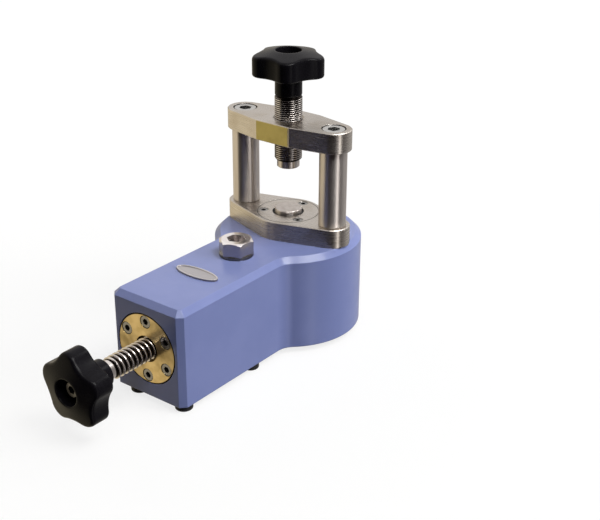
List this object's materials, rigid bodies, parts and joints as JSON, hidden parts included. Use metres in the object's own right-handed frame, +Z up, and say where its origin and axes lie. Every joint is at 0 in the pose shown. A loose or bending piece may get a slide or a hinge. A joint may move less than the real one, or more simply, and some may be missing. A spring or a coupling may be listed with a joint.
{
  "type": "tablet press",
  "caption": "Compact bench press for tablets: a front knob's screw pushes oil under a short ram, and a knobbed screw in the pillared top plate clamps the die above it.",
  "frame": {"origin": "middle of the whole object's footprint, in the plane of the rubber feet's lower faces; the ram's axis stands 84.5 mm behind it, at +Y", "axes": "+Z up along the ram; -Y points to the front, where the drive knob is; +X is to the right of someone facing the front knob's side, along the line of the two pillars"},
  "size_m": [0.109, 0.278, 0.211],
  "materials": {
    "blue_paint": "satin lavender-blue paint",
    "brushed_plate": "brushed",
    "polished_steel": "ground and polished",
    "screw_thread": "turned, lightly oiled",
    "screw_steel": "bright",
    "dark_steel": "black oxide",
    "chrome_plate": "bright plating",
    "flange_brass": "satin, faced on a lathe",
    "bronze": "machined",
    "black_plastic": "satin moulded",
    "black_rubber": "matt",
    "label_film": "yellow-green film, blank",
    "badge_metal": "satin, blank"
  },
  "bodies": {
    "frame": {"body_block": "blue_paint", "base_plate": "brushed_plate", "ram_guide_ring": "brushed_plate", "guide_ring_screws": "screw_steel", "ram_wiper": "black_rubber", "pillar_left": "polished_steel", "pillar_right": "polished_steel", "top_plate": "brushed_plate", "pillar_cap_screws": "screw_steel", "load_label": "label_film", "badge": "badge_metal", "gauge_port_plug": "chrome_plate", "plug_seal_washer": "dark_steel", "drive_nut_flange": "flange_brass", "flange_screws": "screw_steel", "plunger_gland": "bronze", "plunger_seal": "black_rubber", "rubber_feet": "black_rubber", "foot_screws": "screw_steel", "ram_return_spring": "dark_steel"},
    "plunger": {"plunger": "polished_steel", "thrust_ball": "polished_steel"},
    "spindle": {"drive_spindle": "screw_thread", "front_knob": "black_plastic", "front_knob_bush": "dark_steel", "front_knob_washer": "screw_steel", "front_knob_screw": "screw_steel"},
    "ram": {"ram": "polished_steel", "ram_seal": "black_rubber"},
    "pad": {"pressure_pad": "polished_steel"},
    "lead_screw": {"lead_screw": "screw_thread", "top_knob": "black_plastic", "top_knob_bush": "dark_steel", "top_knob_washer": "screw_steel", "top_knob_screw": "screw_steel", "pad_grub_screw": "dark_steel"}
  },
  "joints": [
    {"name": "plunger_slide", "type": "slide", "parent": "frame", "child": "plunger", "axis": [0, 1, 0], "range_m": [0, 0.034]},
    {"name": "drive_turn", "type": "hinge", "parent": "plunger", "child": "spindle", "pos_m": [0, -0.0855, 0.0405], "axis": [0, 1, 0], "range_deg": [0, 3061]},
    {"name": "ram_lift", "type": "slide", "parent": "frame", "child": "ram", "axis": [0, 0, 1], "range_m": [0, 0.00307], "deforming": ["ram_return_spring"]},
    {"name": "pad_slide", "type": "slide", "parent": "frame", "child": "pad", "axis": [0, 0, 1], "range_m": [-0.0151, 0.0136]},
    {"name": "lead_turn", "type": "hinge", "parent": "pad", "child": "lead_screw", "pos_m": [0, 0.0845, 0.16], "axis": [0, 0, 1], "range_deg": [-3600, 3240]}
  ],
  "couplings": [
    {"joint": "drive_turn", "follows": "plunger_slide", "rad_per_m": 1570.8},
    {"joint": "ram_lift", "follows": "plunger_slide", "ratio": 0.09},
    {"joint": "pad_slide", "follows": "lead_turn", "m_per_rad": 0.00023873}
  ]
}
